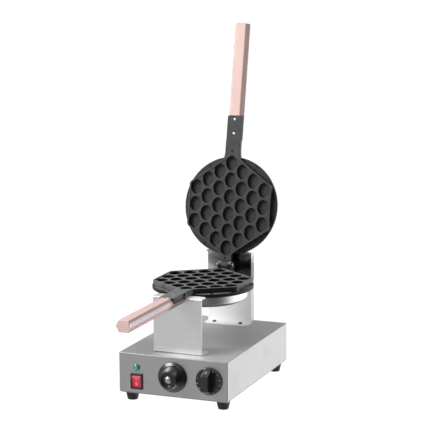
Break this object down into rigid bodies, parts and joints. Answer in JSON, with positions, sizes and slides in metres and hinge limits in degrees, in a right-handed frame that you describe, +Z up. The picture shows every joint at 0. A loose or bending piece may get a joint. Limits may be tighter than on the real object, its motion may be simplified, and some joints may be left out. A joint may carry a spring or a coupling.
{
  "type": "bubble waffle maker",
  "caption": "Countertop bubble waffle maker: steel base with knobs, rocker switch and lamp, carrying a hinged hexagonal iron with oval cells and wooden half handles.",
  "frame": {"origin": "centre of the bounding box at the surface that the feet stand on, with the lid open", "axes": "+Z up, -Y towards the controls and the lower handle, +X to the right as seen from the front"},
  "size_m": [0.22, 0.596, 0.6927],
  "materials": {
    "brushed_stainless": "brushed stainless sheet",
    "bright_steel": "bright turned steel",
    "non_stick_coat": "dark grey non-stick coat on cast aluminium",
    "cover_metal": "satin pressed sheet",
    "pale_wood": "smooth pale wood",
    "black_rubber": "matt",
    "black_plastic": "glossy",
    "red_plastic": "glossy, lit from behind",
    "green_lens": "glossy lens",
    "white_plastic": "matt",
    "bronze": "sintered",
    "glass_sleeving": "woven glass sleeving",
    "satin_cap": "satin"
  },
  "bodies": {
    "machine": {"base_housing": "brushed_stainless", "bottom_plate": "brushed_stainless", "front_bracket": "brushed_stainless", "rear_bracket": "brushed_stainless", "foot_front_left": "black_rubber", "foot_front_right": "black_rubber", "foot_rear_left": "black_rubber", "foot_rear_right": "black_rubber", "lead_grommet": "black_rubber", "foot_screw_front_left": "bright_steel", "foot_screw_front_right": "bright_steel", "foot_screw_rear_left": "bright_steel", "foot_screw_rear_right": "bright_steel", "front_bracket_screw_left": "bright_steel", "front_bracket_screw_right": "bright_steel", "rear_bracket_screw_left": "bright_steel", "rear_bracket_screw_right": "bright_steel", "hinge_pin": "bright_steel", "spindle": "bright_steel", "spindle_ring": "bright_steel", "thermostat_body": "bright_steel", "timer_body": "bright_steel", "lower_plate": "non_stick_coat", "lower_cover": "cover_metal", "lower_handle": "pale_wood", "lower_heater": "bright_steel", "lower_cover_screw": "bright_steel", "lower_handle_bolt_near": "bright_steel", "lower_handle_bolt_far": "bright_steel", "lower_handle_nut_near": "bright_steel", "lower_handle_nut_far": "bright_steel", "spindle_bush": "bronze", "pilot_lamp_lens": "green_lens", "pilot_lamp_body": "black_plastic", "switch_housing": "black_plastic", "cable_gland": "black_plastic", "cable_gland_nut": "black_plastic", "switch_lead": "black_plastic", "thermostat_lead": "black_plastic", "timer_lead": "black_plastic", "terminal_block": "white_plastic", "heater_sleeve": "glass_sleeving"},
    "lid": {"upper_plate": "non_stick_coat", "upper_cover": "cover_metal", "upper_handle": "pale_wood", "upper_heater": "bright_steel", "upper_cover_screw": "bright_steel", "upper_handle_bolt_near": "bright_steel", "upper_handle_bolt_far": "bright_steel", "upper_handle_nut_near": "bright_steel", "upper_handle_nut_far": "bright_steel"},
    "thermostat_knob": {"thermostat_skirt": "black_plastic", "thermostat_grip": "black_plastic", "thermostat_cap": "satin_cap", "thermostat_shaft": "bright_steel"},
    "timer_knob": {"timer_knob": "black_plastic", "timer_shaft": "bright_steel"},
    "rocker": {"rocker": "red_plastic"}
  },
  "joints": [
    {"name": "lid_hinge", "type": "hinge", "parent": "machine", "child": "lid", "pos_m": [0, 0.18552, 0.218], "axis": [1, 0, 0], "range_deg": [0, 101.3]},
    {"name": "thermostat_turn", "type": "hinge", "parent": "machine", "child": "thermostat_knob", "pos_m": [0, -0.08498, 0.05654], "axis": [0, 1, 0], "range_deg": [0, 270]},
    {"name": "timer_turn", "type": "hinge", "parent": "machine", "child": "timer_knob", "pos_m": [0.07348, -0.08498, 0.05654], "axis": [0, 1, 0], "range_deg": [0, 300]},
    {"name": "rocker_tilt", "type": "hinge", "parent": "machine", "child": "rocker", "pos_m": [-0.07348, -0.08278, 0.04179], "axis": [1, 0, 0], "range_deg": [-16, 0]}
  ]
}
